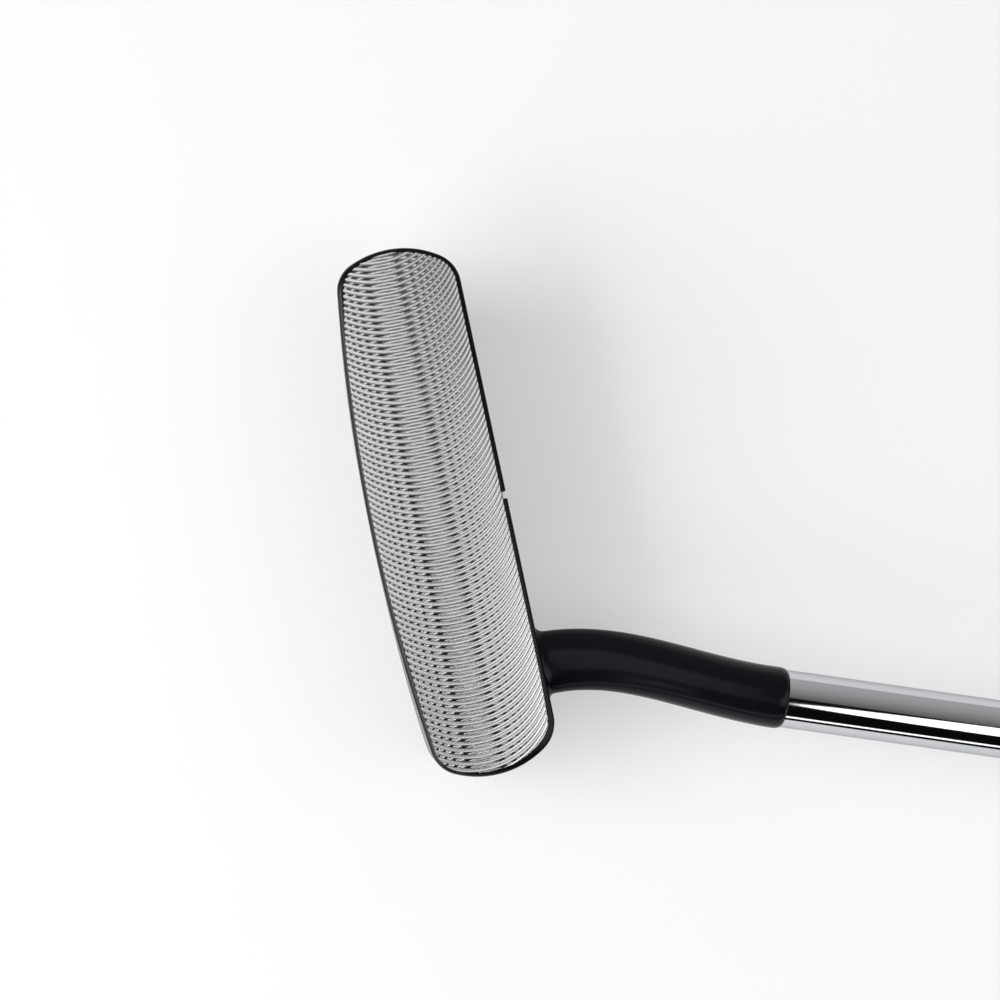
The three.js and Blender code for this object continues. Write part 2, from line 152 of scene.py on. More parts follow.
# Milling: circles of tool marks whose centres step along the face.
CUT_PITCH = 1.2167
CUT_RADIUS = 15.53
CUT_CENTRE = -1.156  # height of the cutter's path on the face
CUT_SKEW = math.radians(-0.1)  # path climbs a little towards the heel
CUT_PHASE = 0.68  # where the first mark falls along the face
CREST_SHADE_START, CREST_SHADE_FULL = 0.27, 0.44  # from a mark's middle to where the painted shade at the crest starts, and where it is full
BARE_STEEL = (0.60, 0.60, 0.59)
# painted shade: the dark colour laid along the crests between marks
CREST_SHADE_COLOUR = (0.05, 0.05, 0.055)
TIP_RADIUS = 1.4  # of the cutting edge, which sets how deep the marks are
TRAILING_RISE = 0.045  # the cutter's trailing side cuts this much shallower
CUT_TOP = 0.13  # from groove bottoms up to the CAD face plane
STOCK = 0.03  # the black blank stood this far above that plane
SKIRT = 2.6  # how far back the fine face piece reaches
BODY_FRONT = 2.3  # where the body behind it starts

# The blank's edge, as pairs from the sole to the topline.
BEVEL_WIDTH = (1.05, 1.5)
BEVEL_DROP = (0.45, 0.6)
BEVEL_CURVE = 1.3
EDGE_RADIUS = (0.9, 0.35)
BLEND_SPAN = 12.0  # height over which the sole's edge turns into the topline's
# Where the bevel is wider: x, y, reach and extra width.
WORN_SPOTS = ((-45, -10, 9, 1.1), (44, 11, 7, 0.55), (27, -12, 9, 0.45))

# Fineness of the meshes.
ROUND = 96
GRIP_ROUND = 192
BODY_VOXEL = 0.32
FACE_FILL = 0.19
RIDGE_SPACING = 0.155
RIM_INSETS = (0, 0.03, 0.08, 0.16, 0.28, 0.42, 0.56, 0.7, 0.84, 0.98, 1.12, 1.26, 1.4)
RIM_SPACING = 0.16
RIDGE_SWEEP = 1.15  # radians of a circle, each way, that cross the blade
RIDGE_CLEARANCE = 0.09  # between the even fill and the ridge lines
RIDGE_CELL = 0.07
FIELD_GAP = 0.1  # between the innermost ring and the points inside it
ROW_RATIO = 0.866  # rows of an even triangular grid
CELL_STRIDE = 100003  # makes one number of a cell's row and column
NOTCH_STEP = 0.12
NOTCH_ACROSS = 0.15
NOTCH_MARGIN = 0.05
LONGEST_EDGE = 1.0
CORNER_PULL = 0.04  # normals are taken this share of the way in from a triangle's corners
BODY_BAND = 3.0  # voxels either side of the surface

BACK_EDGE = 0.9
FLANGE_EDGE = 1.6
BODY_INSET = 0.012  # keeps the body just inside the fine face piece's skirt
SPIGOT_CLEARANCE = 0.15

# The photograph's view, in the face frame.
CAMERA_EYE = Vector((28.4, -18.9, 272.2))
CAMERA_AIM = Vector((0.9, 11.4, 0.0))
CAMERA_RIGHT = Vector((0.2075, 0.9743, 0.0874))
CAMERA_LENS = 54

# The set, in metres. A look is a material's name, colour, roughness and glow.
ROOM_REACH = 6.0
WALL_HEIGHT = 3.0
FLOOR_GAP = 0.0002
FLOOR_LOOK = ("floor_paper", (0.355, 0.36, 0.36), 0.8, 0.405)
WALL_LOOK = ("wall_paint", (0.1, 0.1, 0.1), 0.5, 0.42)
# Name, azimuth, zenith angle, distance, width, height, radiance and shape.
SOFTBOXES = (
    ("overhead_field", 180, 11, 1.5, 1.3, 1.0, 1.1, "RECTANGLE"),
    ("left_field", 180, 46, 1.5, 1.0, 0.7, 4.2, "RECTANGLE"),
    ("right_field", 0, 52, 1.4, 1.1, 0.6, 2.4, "RECTANGLE"),
    ("window", 207, 69, 1.6, 2.0, 1.3, 8.0, "RECTANGLE"),
    ("upper_strip", -22.5, 32.5, 1.2, 0.72, 0.5, 2.2, "ELLIPSE"),
    ("low_strip", -80, 76, 1.4, 1.4, 0.17, 2.0, "RECTANGLE"),
)

# ------------------------------------------------------------------ frames


def face_matrix():
    """Face frame, in millimetres, to the row frame, read from the CAD blade's flat face."""
    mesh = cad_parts["blade_head"].data
    facing = max(mesh.polygons, key=lambda p: p.area * max(0.0, p.normal.z))
    out = facing.normal.copy()
    heel = out.cross(Vector((0, 0, 1))).normalized()
    top = out.cross(heel)
    level = facing.center.dot(out)
    flat = [v.co for v in mesh.vertices if abs(v.co.dot(out) - level) < 1e-5]
    across = [co.dot(heel) for co in flat]
    upward = [co.dot(top) for co in flat]
    middle = heel * (min(across) + max(across)) / 2
    middle += top * (min(upward) + max(upward)) / 2 + out * level
    turn = Matrix((heel, top, out)).transposed().to_4x4()
    return Matrix.Translation(middle) @ turn @ Matrix.Scale(MM, 4)


FACE = face_matrix()
REST_TILT = math.acos(min(1.0, FACE.col[2].xyz.normalized().z))


def on_axis(distance):
    return AXIS_START + AXIS_DIR * distance


def axes_about(tangent):
    """Front (thumb side) and width (face side) directions square to a tangent."""
    width = Vector((0, 0, 1))
    width = (width - tangent * width.dot(tangent)).normalized()
    return width.cross(tangent), width


# ------------------------------------------------------------------ mesh helpers


def mesh_object(name, points, faces, crease=math.radians(38)):
    """An object from face-frame millimetres, placed in the row frame."""
    turn = np.array(FACE)
    placed = np.asarray(points) @ turn[:3, :3].T + turn[:3, 3]
    mesh = bpy.data.meshes.new(name)
    mesh.from_pydata(placed.tolist(), [], [list(map(int, f)) for f in faces])
    mesh.polygons.foreach_set("use_smooth", [True] * len(mesh.polygons))
    mesh.set_sharp_from_angle(angle=crease)
    obj = bpy.data.objects.new(name, mesh)
    bpy.context.scene.collection.objects.link(obj)
    return obj


def ring(centre, tangent, shape):
    """Points round a centre; shape(angle) gives (front, width) offsets."""
    front, width = axes_about(tangent)
    points = []
    for i in range(ROUND):
        a, b = shape(2 * math.pi * i / ROUND)
        points.append(centre + front * a + width * b)
    return points


def oval(across, deep):
    return lambda angle: (across * math.cos(angle), deep * math.sin(angle))


def circle_ring(at, radius):
    return ring(on_axis(at), AXIS_DIR, oval(radius, radius))


def skin(rings, looped):
    """Points and quads of a stack of rings; a looped stack joins its last ring to its first."""
    count = len(rings[0])
    points = [p for one in rings for p in one]
    faces = []
    spans = len(rings) if looped else len(rings) - 1
    for r in range(spans):
        near = r * count
        far = ((r + 1) % len(rings)) * count
        for i in range(count):
            j = (i + 1) % count
            faces.append((near + i, near + j, far + j, far + i))
    if not looped:
        faces.append(tuple(range(count))[::-1])
        faces.append(tuple(range((len(rings) - 1) * count, len(rings) * count)))
    return points, faces


def finish_piece(obj, slot, *nodes):
    """Sets the piece's body and hides the CAD nodes that it stands for; the slot is not used."""
    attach(obj, "root")
    if nodes:
        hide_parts(*nodes)
    return obj


def outward(obj):
    """Turns every face of a closed mesh outwards."""
    work = bmesh.new()
    work.from_mesh(obj.data)
    bmesh.ops.recalc_face_normals(work, faces=work.faces)
    work.to_mesh(obj.data)
    work.free()
    return obj


# ------------------------------------------------------------------ outlines


def arc(centre, radius, start, end, pieces):
    angles = np.linspace(start, end, pieces + 1)
    return np.column_stack((centre[0] + radius * np.cos(angles), centre[1] + radius * np.sin(angles)))


def nested_centre(c1, r1, c2, r2, r):
    """Centre, on the heel side, of the circle of radius r touching two others from inside."""
    gap = c2 - c1
    span = np.hypot(*gap)
    d1, d2 = r1 - r, r2 - r
    along = (span**2 + d1**2 - d2**2) / (2 * span)
    aside = math.sqrt(d1**2 - along**2)
    way = gap / span
    across = np.array((way[1], -way[0]))
    if across[0] < 0:
        across = -across
    return c1 + way * along + across * aside


def blade_outline(inset=0.0, spacing=0.15):
    """The face outline, moved in by an even amount, with points about a spacing apart."""
    end = np.array((HALF_LENGTH - END_RADIUS, END_RISE))
    sole = np.array((0.0, SOLE_CAMBER - HALF_HEIGHT))
    top_y = HALF_HEIGHT - TOP_CORNER
    top = np.array((end[0] + math.sqrt((END_RADIUS - TOP_CORNER) ** 2 - (top_y - end[1]) ** 2), top_y))
    low = nested_centre(end, END_RADIUS, sole, SOLE_CAMBER, SOLE_CORNER)
    top_meets = math.atan2(*(top - end)[::-1])
    low_meets = math.atan2(*(low - end)[::-1])
    sole_meets = math.atan2(*(low - sole)[::-1])

    def stretch(centre, radius, start, finish):
        pieces = max(2, round(abs(finish - start) * radius / spacing))
        return arc(centre, radius - inset, start, finish, pieces)

    flat = np.linspace(0, top[0], max(2, round(top[0] / spacing)) + 1)
    half = [np.column_stack((flat, np.full(flat.shape, HALF_HEIGHT - inset)))]
    half.append(stretch(top, TOP_CORNER, math.pi / 2, top_meets)[1:])
    half.append(stretch(end, END_RADIUS, top_meets, low_meets)[1:])
    half.append(stretch(low, SOLE_CORNER, low_meets, sole_meets)[1:])
    half.append(stretch(sole, SOLE_CAMBER, sole_meets, -math.pi / 2)[1:])
    half = np.vstack(half)
    return np.vstack((half, (half * (-1, 1))[-2:0:-1]))


def bezier(p0, p1, p2, p3, pieces):
    t = np.linspace(0, 1, pieces + 1)[:, None]
    p0, p1, p2, p3 = map(np.array, (p0, p1, p2, p3))
    return (1 - t) ** 3 * p0 + 3 * t * (1 - t) ** 2 * p1 + 3 * t**2 * (1 - t) * p2 + t**3 * p3


def side_section():
    """Section of the blade square to its length, (y, z): blade, sweep, flange, rolled sole."""
    back = -TOPLINE_THICKNESS
    foot_set = (FLANGE_FOOT - FLANGE_TOP) * math.tan(REST_TILT)
    over = 3.0
    sweep = bezier(
        (SWEEP_TOP, back),
        (SWEEP_TOP - 6.5, back),
        (SWEEP_FOOT + 0.6, -11.5),
        (SWEEP_FOOT, 3 - FLANGE_DEPTH),
        24,
    )
    sole = bezier(
        (FLANGE_FOOT - 0.9, 1 - FLANGE_DEPTH),
        (-12.6, -17.3),
        (-HALF_HEIGHT - 0.5, -8.0),
        (-HALF_HEIGHT - 1, 0),
        24,
    )
    return np.vstack(
        (
            [(HALF_HEIGHT + over, over), (HALF_HEIGHT + over, back)],
            sweep,
            [(SWEEP_FOOT - 0.4, -FLANGE_DEPTH)],
            [(FLANGE_TOP, -FLANGE_DEPTH), (FLANGE_FOOT, -FLANGE_DEPTH + foot_set)],
            sole,
            [(-HALF_HEIGHT - 1, over)],
        )
    )


def plan_section():
    """Plan of the flange, (x, z): straight trailing edge, round corners."""
    half = HALF_LENGTH + 1.5
    rear = -FLANGE_DEPTH - 1
    heel = arc((half - FLANGE_CORNER, rear + FLANGE_CORNER), FLANGE_CORNER, -math.pi / 2, 0, 24)
    toe = (heel * (-1, 1))[::-1]
    return np.vstack((toe, heel, [(half, 3), (-half, 3)]))


def signed_distance(x, y, outline):
    """Distance from points to a closed outline, negative inside."""
    nearest = np.full(x.shape, np.inf)
    inside = np.zeros(x.shape, bool)
    for (x0, y0), (x1, y1) in zip(outline, np.roll(outline, -1, 0)):
        ex, ey = x1 - x0, y1 - y0
        t = np.clip(((x - x0) * ex + (y - y0) * ey) / (ex * ex + ey * ey), 0, 1)
        nearest = np.minimum(nearest, (x - x0 - t * ex) ** 2 + (y - y0 - t * ey) ** 2)
        if y0 != y1:
            inside ^= ((y0 > y) != (y1 > y)) & (x < x0 + (y - y0) * ex / ey)
    return np.where(inside, -1, 1) * np.sqrt(nearest)


# ------------------------------------------------------------------ blade body


def round_meet(a, b, radius):
    """Intersection of two distance fields with the edge between them rounded."""
    edge = np.hypot(np.maximum(a + radius, 0), np.maximum(b + radius, 0))
    return np.minimum(-radius, np.maximum(a, b)) + edge


def make_blade_body():
    """The black blade behind the face, from one distance field, so that every edge is soft."""
    pad = 4 * BODY_VOXEL
    x = np.arange(-HALF_LENGTH - pad, HALF_LENGTH + pad, BODY_VOXEL)
    y = np.arange(-HALF_HEIGHT - pad, HALF_HEIGHT + pad, BODY_VOXEL)
    z = np.arange(-FLANGE_DEPTH - pad, 0, BODY_VOXEL)
    outline = signed_distance(*np.meshgrid(x, y, indexing="ij"), blade_outline(spacing=0.5))
    side = signed_distance(*np.meshgrid(y, z, indexing="ij"), side_section())
    plan = signed_distance(*np.meshgrid(x, z, indexing="ij"), plan_section())
    field = round_meet(outline[:, :, None] + BODY_INSET, side[None], BACK_EDGE)
    field = round_meet(field, plan[:, None, :], FLANGE_EDGE)
    field = np.maximum(field, (z + BODY_FRONT)[None, None, :])
    notch = np.maximum(np.abs(x)[:, None] - NOTCH_WIDTH / 2, HALF_HEIGHT - NOTCH_DEPTH - y[None, :])
    field = np.maximum(field, -notch[:, :, None])
    hole = np.hypot(x[:, None] - NECK_FOOT.x, z[None, :] - NECK_FOOT.z) - SPIGOT_RADIUS
    hole -= SPIGOT_CLEARANCE
    depth = HALF_HEIGHT - SPIGOT_LENGTH - y
    field = np.maximum(field, -np.maximum(hole[:, None, :], depth[None, :, None]))
    grid = openvdb.FloatGrid(BODY_BAND)
    grid.copyFromArray(np.clip(field, -BODY_BAND, BODY_BAND).astype(np.float32))
    points, quads = grid.convertToQuads(0.0)
    points = np.asarray(points) * BODY_VOXEL + (x[0], y[0], z[0])
    obj = outward(mesh_object("blade_body", points, quads))
    return finish_piece(obj, "black_steel", "blade_head")


# ------------------------------------------------------------------ milled face


def edge_shape(x, y):
    """Bevel width, edge radius and bevel drop: crisp at the topline, rolled at the sole."""
    upper = np.clip(y / BLEND_SPAN + 0.5, 0, 1)
    width, radius, drop = (
        sole + (topline - sole) * upper for sole, topline in (BEVEL_WIDTH, EDGE_RADIUS, BEVEL_DROP)
    )
    for cx, cy, reach, extra in WORN_SPOTS:
        width = width + extra * np.exp(-((x - cx) ** 2 + (y - cy) ** 2) / reach**2)
    return width, radius, drop


def blank_height(x, y, inside):
    width, radius, drop = edge_shape(x, y)
    away = np.clip(radius - inside, 0, radius)
    bevel = drop * np.clip(1 - inside / width, 0, 1) ** BEVEL_CURVE
    return STOCK - bevel - radius + np.sqrt(radius**2 - away**2)


def on_cut_path(x, y):
    """Coordinates along and across the line that the cutter's centre runs on."""
    along = x - CUT_PHASE
    px = along * math.cos(CUT_SKEW) - y * math.sin(CUT_SKEW)
    py = along * math.sin(CUT_SKEW) + y * math.cos(CUT_SKEW) - CUT_CENTRE
    return px, py


def cut_marks(x, y):
    """Height of the milled surface, and where the circle that cut it is centred."""
    px, py = on_cut_path(x, y)
    root = np.sqrt(CUT_RADIUS**2 - py**2)
    height = np.full(x.shape, np.inf)
    centre = np.zeros(x.shape)
    for side, rise in ((1, 0.0), (-1, TRAILING_RISE)):
        middle = np.round((px - side * root) / CUT_PITCH)
        for step in (-1, 0, 1):
            cx = (middle + step) * CUT_PITCH
            away = np.hypot(px - cx, py) - CUT_RADIUS
            this = away**2 / (2 * TIP_RADIUS) + rise
            lower = this < height
            height = np.where(lower, this, height)
            centre = np.where(lower, cx, centre)
    return height - CUT_TOP, centre


def ridge_points():
    """Points along the crests between neighbouring marks, over the whole blade."""
    reach = HALF_LENGTH + CUT_RADIUS + 2
    angles = np.arange(-RIDGE_SWEEP, RIDGE_SWEEP, RIDGE_SPACING / CUT_RADIUS)
    ridges = []
    for k in range(int(-reach / CUT_PITCH), int(reach / CUT_PITCH) + 1):
        for side in (1, -1):
            px = (k + 0.5) * CUT_PITCH + side * CUT_RADIUS * np.cos(angles)
            ridges.append(np.column_stack((px, CUT_RADIUS * np.sin(angles) + CUT_CENTRE)))
    cosine, sine = math.cos(CUT_SKEW), math.sin(CUT_SKEW)
    back = np.array(((cosine, -sine), (sine, cosine)))
    ridges = np.vstack(ridges) @ back + (CUT_PHASE, 0)
    return ridges[(np.abs(ridges[:, 0]) < HALF_LENGTH) & (np.abs(ridges[:, 1]) < HALF_HEIGHT)]


def face_points():
    """Flat points for the face mesh: rings along the outline, the ridge lines, an even fill."""
    rings = [blade_outline(inset, RIM_SPACING) for inset in RIM_INSETS]
    outline = blade_outline(spacing=0.5)
    field = RIM_INSETS[-1] + FIELD_GAP
    ridges = ridge_points()
    ridges = ridges[signed_distance(*ridges.T, outline) < -field]
    rows = np.arange(-HALF_HEIGHT, HALF_HEIGHT, FACE_FILL * ROW_RATIO)
    columns = np.arange(-HALF_LENGTH, HALF_LENGTH, FACE_FILL)
    gx, gy = np.meshgrid(columns, rows)
    gx = gx + FACE_FILL / 2 * (np.arange(len(rows)) % 2)[:, None]
    grid = np.column_stack((gx.ravel(), gy.ravel()))
    grid = grid[signed_distance(*grid.T, outline) < -field]
    grid = grid[clear_of(grid, ridges, RIDGE_CLEARANCE)]
    ridges = ridges[thinned(ridges, RIDGE_CELL)]
    return rings, np.vstack((ridges, grid))


def cell_keys(points, size):
    cells = np.floor(points / size).astype(np.int64)
    return cells[:, 0] * CELL_STRIDE + cells[:, 1]


def clear_of(points, others, reach):
    """Which points have no other point within about a reach."""
    taken = set()
    for dx in (-reach / 2, reach / 2):
        for dy in (-reach / 2, reach / 2):
            taken.update(cell_keys(others + (dx, dy), reach).tolist())
    return np.array([key not in taken for key in cell_keys(points, reach).tolist()])


def thinned(points, size):
    """One point for each small cell, so that crossing ridge lines leave no slivers."""
    chosen = np.zeros(len(points), bool)
    chosen[np.unique(cell_keys(points, size), return_index=True)[1]] = True
    return chosen


def make_milled_face():
    """The face as it was cut: a black blank with soft edges, milled by overlapping circles."""
    rings, inner = face_points()
    notch_floor = HALF_HEIGHT - NOTCH_DEPTH
    half = NOTCH_WIDTH / 2
    steps = np.arange(notch_floor, HALF_HEIGHT - 0.01, NOTCH_STEP)
    across = np.arange(-half, half + 0.01, NOTCH_ACROSS)
    walls = np.vstack(
        [np.column_stack((np.full(steps.shape, s * half), steps)) for s in (-1, 1)]
        + [np.column_stack((across, np.full(across.shape, notch_floor)))]
        + [[(-half, HALF_HEIGHT), (half, HALF_HEIGHT)]]
    )
    flat = np.vstack(rings + [inner])
    in_notch = np.abs(flat[:, 0]) < half + NOTCH_MARGIN
    in_notch &= flat[:, 1] > notch_floor - NOTCH_MARGIN
    flat = np.vstack((flat[~in_notch], walls))
    found = delaunay_2d_cdt([Vector(p) for p in flat], [], [], 0, 1e-5)
    flat = np.array([tuple(p) for p in found[0]])
    tris = np.array(found[2])
    middle = flat[tris].mean(1)
    outline = blade_outline(spacing=RIM_SPACING)
    keep = signed_distance(*middle.T, outline) < 1e-4
    keep &= ~((np.abs(middle[:, 0]) < half) & (middle[:, 1] > notch_floor))
    spread = np.ptp(flat[tris], axis=1)
    keep &= np.hypot(*spread.T) < LONGEST_EDGE
    tris = tris[keep]

    inside = np.maximum(-signed_distance(*flat.T, outline), 0)
    blank = blank_height(*flat.T, inside)
    cut, _ = cut_marks(*flat.T)
    points = np.column_stack((flat, np.minimum(blank, cut)))
    points, faces = add_skirt(points, tris)

    obj = mesh_object("milled_face", points, faces, math.pi)
    shade_milled(obj, points, faces, len(tris), outline)
    return finish_piece(obj, "milled_steel")


def add_skirt(points, tris):
    """Adds a wall that carries the open edge of the face straight back."""
    edges = np.vstack((tris[:, (0, 1)], tris[:, (1, 2)], tris[:, (2, 0)]))
    order = np.sort(edges, 1)
    _, where, count = np.unique(order, axis=0, return_index=True, return_counts=True)
    rim = edges[where[count == 1]]
    used = np.unique(rim)
    lower = points[used].copy()
    lower[:, 2] = -SKIRT
    below = {int(v): len(points) + i for i, v in enumerate(used)}
    walls = [(int(b), int(a), below[int(a)], below[int(b)]) for a, b in rim]
    return np.vstack((points, lower)), tris.tolist() + walls


def shade_milled(obj, points, faces, milled_count, outline):
    """Bare steel where the cutter reached, coat elsewhere; exact normals; marks as a UV map."""
    mesh = obj.data
    tris = np.array(faces[:milled_count])
    corners = points[tris][:, :, :2]
    middle = corners.mean(1, keepdims=True)
    near = corners * (1 - CORNER_PULL) + middle * CORNER_PULL

    mid_x, mid_y = middle[:, 0].T
    inside = np.maximum(-signed_distance(mid_x, mid_y, outline), 0)
    mid_cut, centre = cut_marks(mid_x, mid_y)
    bare = mid_cut < blank_height(mid_x, mid_y, inside)
    slots = np.r_[bare, np.zeros(len(faces) - milled_count)].astype(int)
    mesh.polygons.foreach_set("material_index", slots)

    px, py = on_cut_path(near[..., 0], near[..., 1])
    away = np.hypot(px - centre[:, None], py) - CUT_RADIUS
    angle = np.arctan2(py, px - centre[:, None])
    slope = away / TIP_RADIUS
    gx = slope * np.cos(angle)
    gy = slope * np.sin(angle)
    nx = -(gx * math.cos(CUT_SKEW) + gy * math.sin(CUT_SKEW))
    ny = -(-gx * math.sin(CUT_SKEW) + gy * math.cos(CUT_SKEW))
    exact = np.stack((nx, ny, np.ones_like(nx)), -1)
    exact /= np.linalg.norm(exact, axis=-1, keepdims=True)
    exact = exact @ (np.array(FACE)[:3, :3] / MM).T

    vertex = np.zeros(len(mesh.loops), int)
    mesh.loops.foreach_get("vertex_index", vertex)
    smooth = np.zeros(3 * len(mesh.vertices))
    mesh.vertex_normals.foreach_get("vector", smooth)
    normals = smooth.reshape(-1, 3)[vertex]
    milled = np.repeat(bare, 3)
    normals[: 3 * milled_count][milled] = exact.reshape(-1, 3)[milled]
    mesh.normals_split_custom_set(normals.tolist())

    marks = mesh.uv_layers.new(name="marks")
    uv = np.zeros((len(mesh.loops), 2))
    uv[: 3 * milled_count, 0] = away.reshape(-1) + np.repeat(centre, 3)
    uv[: 3 * milled_count, 1] = (angle * CUT_RADIUS).reshape(-1)
    marks.data.foreach_set("uv", uv.ravel())


# ------------------------------------------------------------------ neck


def neck_line(t):
    """A point and the direction of the neck's centre line, from the topline to the shoulder."""
    end = on_axis(NECK_LENGTH - SHOULDER_AXIAL)
    pull = (end - NECK_FOOT).length * NECK_PULL
    up = Vector((0, 1, 0))
    p1 = NECK_FOOT + up * pull
    p2 = end - AXIS_DIR * pull
    s = 1 - t
    point = NECK_FOOT * s**3 + p1 * (3 * s * s * t) + p2 * (3 * s * t * t) + end * t**3
    way = (p1 - NECK_FOOT) * (s * s) + (p2 - p1) * (2 * s * t) + (end - p2) * (t * t)
    return point, way.normalized()


def neck_half(t):
    if t < 0.65:
        swell, away = NECK_BASE_HALF, 1 - t / 0.65
    else:
        swell, away = NECK_END, (t - 0.65) / 0.35
    return NECK_WAIST + (swell - NECK_WAIST) * away * away


def neck_deep(t):
    grown = min(1.0, t * t * (3 - 2 * t) * 1.25)
    return NECK_BASE_DEPTH + (neck_half(t) - NECK_BASE_DEPTH) * grown


def make_neck():
    up = Vector((0, 1, 0))
    rings = [ring(NECK_FOOT - up * SPIGOT_LENGTH, up, oval(SPIGOT_RADIUS, SPIGOT_RADIUS))]
    rings.append(ring(NECK_FOOT, up, oval(SPIGOT_RADIUS, SPIGOT_RADIUS)))
    lofts = 60
    for i in range(lofts + 1):
        t = i / lofts
        point, way = neck_line(t)
        rings.append(ring(point, way, oval(neck_half(t), neck_deep(t))))
    for i in range(1, 9):
        angle = math.pi / 2 * i / 8
        radius = NECK_END - SHOULDER_RADIAL * (1 - math.cos(angle))
        at = NECK_LENGTH - SHOULDER_AXIAL * (1 - math.sin(angle))
        rings.append(circle_ring(at, radius))
    rings.append(circle_ring(NECK_LENGTH, POST_RADIUS))
    rings.append(circle_ring(NECK_LENGTH + POST_LENGTH - 0.8, POST_RADIUS))
    rings.append(circle_ring(NECK_LENGTH + POST_LENGTH, POST_RADIUS - 0.8))
    obj = outward(mesh_object("neck", *skin(rings, False)))
    return finish_piece(obj, "black_steel", "flow_neck")


def make_weld():
    """The blended bead round the neck's foot, hollow in section."""
    rise = WELD_RISE / (on_axis(NECK_LENGTH) - NECK_FOOT).length
    rings = []
    for i in range(13):
        k = i / 12
        t = k * rise
        flare = (1 - k) ** 2.4
        point, way = neck_line(t)
        across = neck_half(t) + 0.02 + WELD_SPREAD * flare
        deep = neck_deep(t) + 0.02 + WELD_LIP * flare
        rings.append(ring(point, way, oval(across, deep)))
    for t in (rise, 0.0):
        point, way = neck_line(t)
        rings.append(ring(point, way, oval(neck_half(t) - 0.05, neck_deep(t) - 0.05)))
    obj = outward(mesh_object("weld_bead", *skin(rings, True)))
    return finish_piece(obj, "black_steel", "neck_weld")


# ------------------------------------------------------------------ shaft


def make_shaft():
    rise = (SHAFT_BUTT - SHAFT_TIP) / STEP_COUNT
    edge = 0.12
    stations = [(NECK_LENGTH + 0.03, SHAFT_TIP - edge), (NECK_LENGTH + 0.03 + edge, SHAFT_TIP)]
    for k in range(STEP_COUNT):
        at = NECK_LENGTH + SHAFT_PARALLEL + k * STEP_SPACING
        low = SHAFT_TIP + k * rise
        for i in range(7):
            f = i / 6
            stations.append((at + STEP_LENGTH * f, low + rise * f * f * (3 - 2 * f)))
    stations.append((BUTT_AT - CAP_THICKNESS - 0.03, SHAFT_BUTT))
    rings = [circle_ring(at, radius) for at, radius in stations]
    inner = [(stations[0][0], SHAFT_TIP - SHAFT_WALL), (stations[-1][0], SHAFT_BUTT - SHAFT_WALL)]
    rings += [circle_ring(at, radius) for at, radius in reversed(inner)]
    obj = outward(mesh_object("steel_shaft", *skin(rings, True)))
    return finish_piece(obj, "chrome", "shaft")


# ------------------------------------------------------------------ grip


def grip_size(at):
    """Half width, front and back depth of the grip at a distance along the shaft's axis."""
    along = min(max((at - MOUTH_AT) / GRIP_LENGTH, 0.0), 1.0)
    for low, high in zip(GRIP_STATIONS, GRIP_STATIONS[1:]):
        if along <= high[0]:
            break
    f = (along - low[0]) / (high[0] - low[0])
    ease = f * f * (3 - 2 * f)
    return tuple(a + (b - a) * ease for a, b in zip(low[1:], high[1:]))


def grip_profile(at, count=GRIP_ROUND):
    """Evenly spaced (front, width) points and their outward directions round the grip."""
    half, front, back = grip_size(at)
    turn = np.linspace(0, 2 * math.pi, 4001)
    c, s = np.cos(turn), np.sin(turn)
    ahead = c > 0
    power = np.where(ahead, 2 / FRONT_FLATNESS, 2 / BACK_FLATNESS)
    side = np.where(ahead, 2 / SIDE_FLATNESS, 2 / BACK_FLATNESS)
    x = np.sign(c) * np.abs(c) ** power * np.where(ahead, front, back)
    y = np.sign(s) * np.abs(s) ** side * half
    run = np.r_[0, np.cumsum(np.hypot(np.diff(x), np.diff(y)))]
    stops = run[-1] * np.arange(count) / count
    x, y = np.interp(stops, run, x), np.interp(stops, run, y)
    dx, dy = np.roll(x, -1) - np.roll(x, 1), np.roll(y, -1) - np.roll(y, 1)
    length = np.hypot(dx, dy)
    return x, y, dy / length, -dx / length, run[-1]


def place_ring(at, x, y):
    front, width = axes_about(AXIS_DIR)
    centre = on_axis(at)
    return [centre + front * float(a) + width * float(b) for a, b in zip(x, y)]


def grip_ring(at, inset=0.0, count=GRIP_ROUND):
    x, y, nx, ny, _ = grip_profile(at, count)
    return place_ring(at, x - nx * inset, y - ny * inset)


def grip_circle(at, radius):
    """A circle whose points lie in line with those of the grip's own section."""
    x, y, *_ = grip_profile(at)
    angle = np.arctan2(y, x)
    return place_ring(at, radius * np.cos(angle), radius * np.sin(angle))


def make_wrap():
    """The leather sleeve, drawn together along a seam down the back of the grip."""
    rng = np.random.default_rng(7)
    waves = rng.uniform(-1, 1, (WAVE_COUNT, 4))
    rings = []
    stops = np.linspace(SLEEVE_FROM, SLEEVE_TO, 380)
    for at in stops:
        x, y, nx, ny, around = grip_profile(at)
        place = np.arange(GRIP_ROUND) / GRIP_ROUND * around
        from_seam = np.abs(place - around / 2)
        inset = SEAM_DEPTH * np.exp(-((from_seam / SEAM_WIDTH) ** 2))
        inset = inset + PUCKER_DEPTH * np.exp(-(((from_seam - PUCKER_AT) / PUCKER_WIDTH) ** 2))
        end = min(at - SLEEVE_FROM, SLEEVE_TO - at)
        if end < EDGE_ROLL:
            inset = inset + EDGE_ROLL - math.sqrt(EDGE_ROLL**2 - (EDGE_ROLL - end) ** 2)
        crease = np.zeros(GRIP_ROUND)
        for a, b, phase, size in waves:
            crease += size * np.sin(place * a * WAVE_RATE + at * b * WAVE_RATE + phase * 9)
        inset = inset + WAVE_INSET + WAVE_DEPTH * np.clip(crease, -3, 3)
        rings.append(place_ring(at, x - nx * inset, y - ny * inset))
    inner = np.linspace(SLEEVE_TO, SLEEVE_FROM, 40)
    rings += [grip_ring(at, WRAP_THICKNESS) for at in inner]
    obj = outward(mesh_object("leather_wrap", *skin(rings, True)))
    return finish_piece(obj, "leather", "grip_wrap")


